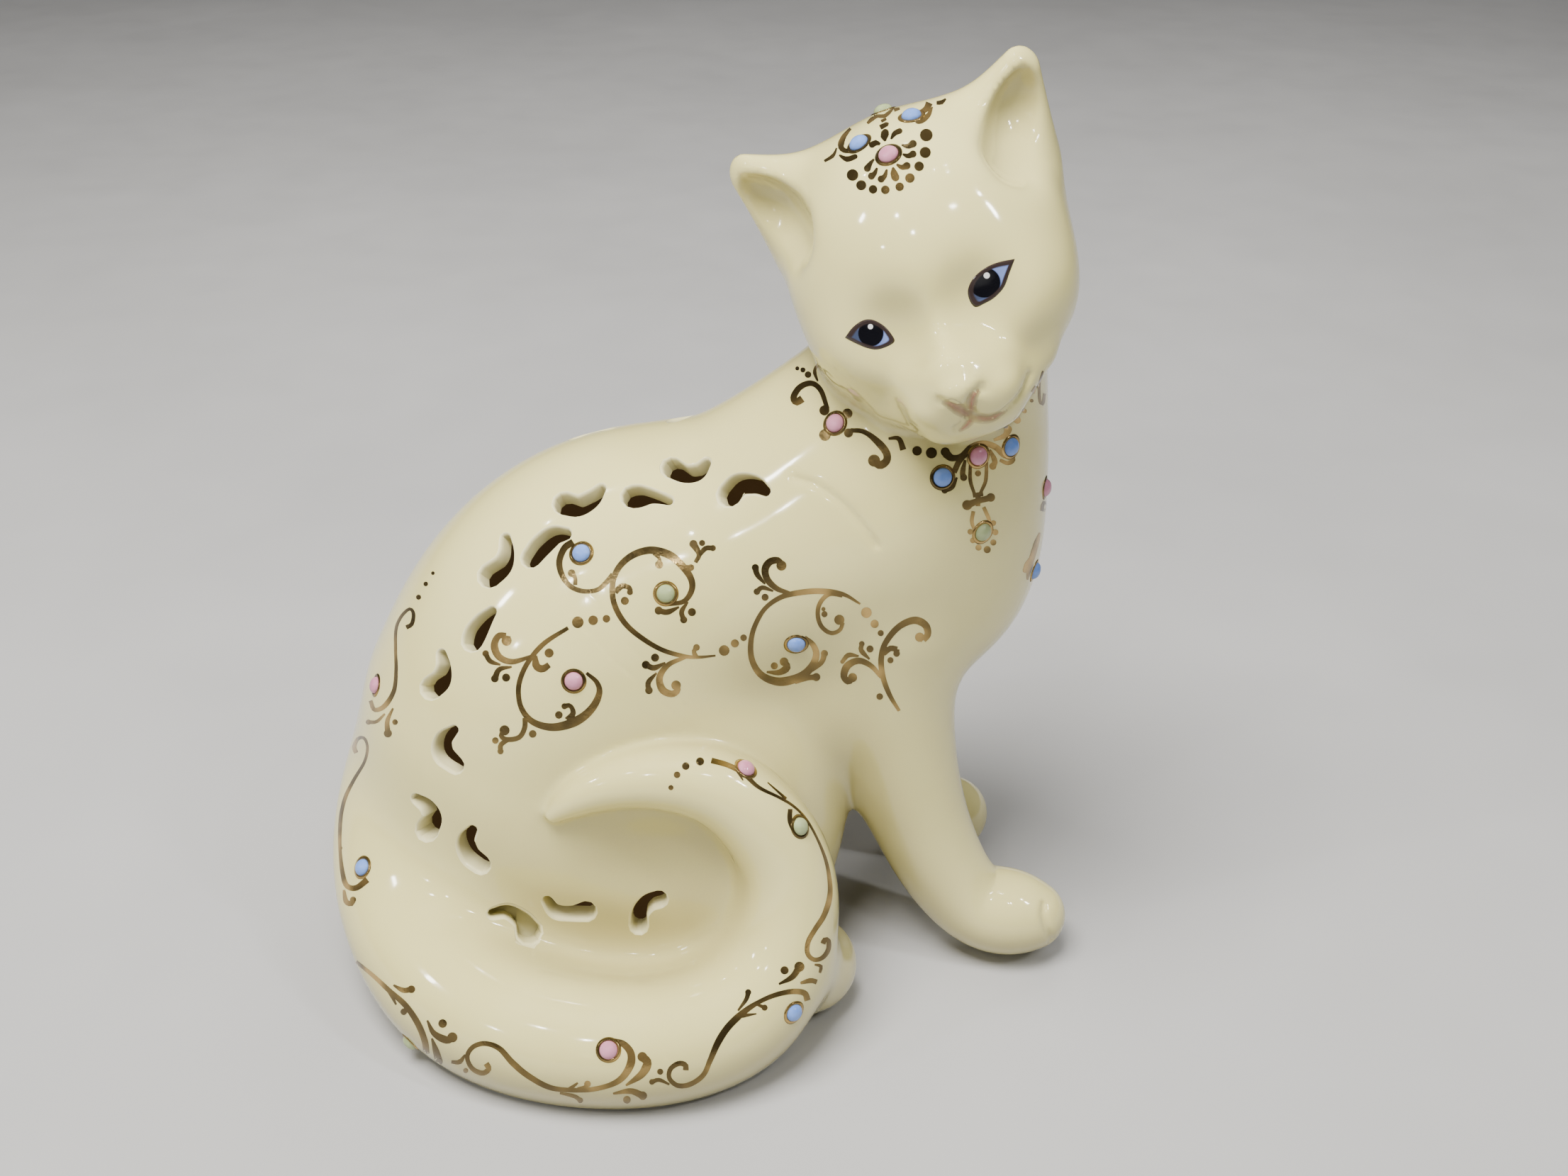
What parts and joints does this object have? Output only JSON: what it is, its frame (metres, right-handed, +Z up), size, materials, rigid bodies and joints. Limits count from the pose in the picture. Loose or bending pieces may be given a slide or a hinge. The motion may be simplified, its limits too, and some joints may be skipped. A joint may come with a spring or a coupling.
{
  "type": "ceramic cat figurine",
  "caption": "Hollow glazed porcelain cat, seated with its head turned and its tail curled round its haunch, pierced with comma-shaped holes and dotted with raised enamel beads.",
  "frame": {"origin": "on the table plane, on the front edge of the flat foot under the body, between the forelegs and the hind paws", "axes": "+X the way the body faces, +Y towards its left side, +Z up; the head is turned towards -Y"},
  "size_m": [0.1472, 0.1101, 0.1763],
  "materials": {
    "ivory_glaze": "gloss",
    "pink_enamel": "gloss",
    "blue_enamel": "gloss",
    "green_enamel": "gloss"
  },
  "bodies": {
    "root": {"bead_back_pink": "pink_enamel", "bead_chest_blue": "blue_enamel", "bead_chest_pink": "pink_enamel", "bead_collar_blue_1": "blue_enamel", "bead_collar_blue_2": "blue_enamel", "bead_collar_green_1": "green_enamel", "bead_collar_pink_1": "pink_enamel", "bead_collar_pink_2": "pink_enamel", "bead_crown_blue_1": "blue_enamel", "bead_crown_blue_2": "blue_enamel", "bead_crown_green": "green_enamel", "bead_crown_pink": "pink_enamel", "bead_flank_left_blue_1": "blue_enamel", "bead_flank_left_blue_2": "blue_enamel", "bead_flank_left_green_1": "green_enamel", "bead_flank_left_pink_1": "pink_enamel", "bead_flank_right_blue_1": "blue_enamel", "bead_flank_right_blue_2": "blue_enamel", "bead_flank_right_green_1": "green_enamel", "bead_flank_right_pink_1": "pink_enamel", "bead_tail_blue_1": "blue_enamel", "bead_tail_blue_2": "blue_enamel", "bead_tail_green_1": "green_enamel", "bead_tail_green_2": "green_enamel", "bead_tail_pink_1": "pink_enamel", "bead_tail_pink_2": "pink_enamel", "body_shell": "ivory_glaze", "foreleg_left": "ivory_glaze", "foreleg_right": "ivory_glaze", "head_shell": "ivory_glaze", "hind_paw_left": "ivory_glaze", "hind_paw_right": "ivory_glaze", "tail": "ivory_glaze"}
  },
  "joints": []
}
